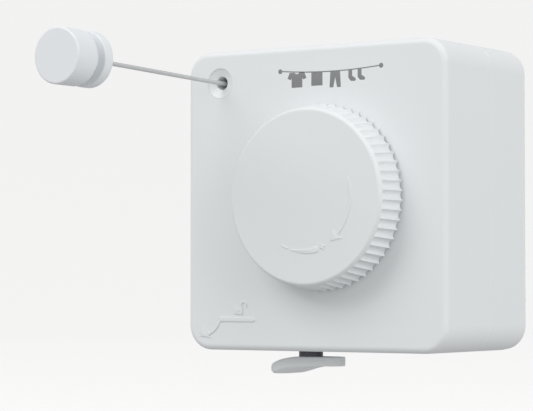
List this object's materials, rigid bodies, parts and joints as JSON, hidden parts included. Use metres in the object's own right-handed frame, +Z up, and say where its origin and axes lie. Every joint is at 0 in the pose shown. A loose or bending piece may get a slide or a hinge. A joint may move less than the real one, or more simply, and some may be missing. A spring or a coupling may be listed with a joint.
{
  "type": "retractable clothesline",
  "caption": "Square wall-mounted retractable clothesline with a large ribbed tension knob, a lock lever underneath and the line drawn out by its round end grip.",
  "frame": {"origin": "centre of the wall plate's back face, where it meets the wall", "axes": "+X to the right seen from the front, +Y into the wall, +Z up"},
  "size_m": [0.125, 0.1745, 0.1349],
  "materials": {
    "case_white": "fine satin moulded ABS",
    "grip_white": "smooth moulded ABS",
    "acetal": "natural acetal",
    "drum_grey": "moulded nylon",
    "zinc_steel": "zinc plated",
    "bright_steel": "ground",
    "spring_steel": "blued",
    "line_grey": "vinyl-coated stranded wire",
    "ferrule_metal": "crimped"
  },
  "bodies": {
    "housing": {"wall_plate": "case_white", "rear_shell": "case_white", "front_shell": "case_white", "case_screws": "zinc_steel", "plate_lock_screw": "zinc_steel", "line_outlet": "case_white", "front_bush": "acetal", "spring_arbor": "bright_steel", "arbor_screws": "zinc_steel", "recoil_spring": "spring_steel", "pawl_pin": "bright_steel", "pawl_clip": "bright_steel", "pawl_spring": "spring_steel", "pulley_pin": "bright_steel", "pulley_bracket": "zinc_steel", "bracket_screws": "zinc_steel", "line_run": "line_grey"},
    "drum": {"line_drum": "drum_grey", "tension_knob": "case_white", "knob_screw": "zinc_steel", "thrust_washer": "acetal", "ratchet_wheel": "zinc_steel", "ratchet_screws": "zinc_steel", "spring_barrel": "drum_grey", "barrel_screws": "zinc_steel", "barrel_cover": "drum_grey", "rear_bush": "acetal", "line_winding": "line_grey"},
    "lever": {"lock_lever": "case_white", "lever_shaft": "spring_steel", "lock_cam": "acetal", "cam_screw": "zinc_steel"},
    "pawl_arm": {"pawl": "zinc_steel"},
    "pulley": {"guide_pulley": "acetal"},
    "line_end": {"line_free": "line_grey", "line_in_grip": "line_grey", "line_ferrule": "ferrule_metal"},
    "end_grip": {"grip_rear": "grip_white", "grip_front": "grip_white"}
  },
  "joints": [
    {"name": "drum_spin", "type": "hinge", "parent": "housing", "child": "drum", "pos_m": [0.005, -0.038, 0], "axis": [0, -1, 0], "range_deg": [-135, 6600], "stiffness_Nm_per_rad": 0.003, "springref_deg": -1145.92, "deforming": ["recoil_spring"]},
    {"name": "line_pull", "type": "slide", "parent": "housing", "child": "line_end", "axis": [0, -0.9995, 0.0301], "range_m": [-0.085, 4.15], "deforming": ["line_free"]},
    {"name": "grip_swivel", "type": "hinge", "parent": "line_end", "child": "end_grip", "pos_m": [-0.046, -0.165, 0.0517], "axis": [0, -1, 0], "continuous": true},
    {"name": "pulley_spin", "type": "hinge", "parent": "housing", "child": "pulley", "pos_m": [-0.04107, -0.04325, 0.04824], "axis": [0.1716, 0, 0.9852], "range_deg": [-975, 47525]},
    {"name": "lever_turn", "type": "hinge", "parent": "housing", "child": "lever", "pos_m": [-0.0111, -0.051, -0.067], "axis": [0, 0, 1], "range_deg": [0, 90]},
    {"name": "pawl_swing", "type": "hinge", "parent": "housing", "child": "pawl_arm", "pos_m": [0.023, -0.0515, -0.029], "axis": [0, 1, 0], "range_deg": [0, 8.5], "deforming": ["pawl_spring"]}
  ],
  "couplings": [
    {"joint": "line_pull", "follows": "drum_spin", "m_per_rad": 0.036},
    {"joint": "pulley_spin", "follows": "drum_spin", "ratio": 7.2},
    {"joint": "pawl_swing", "follows": "lever_turn", "ratio": 0.094444}
  ]
}
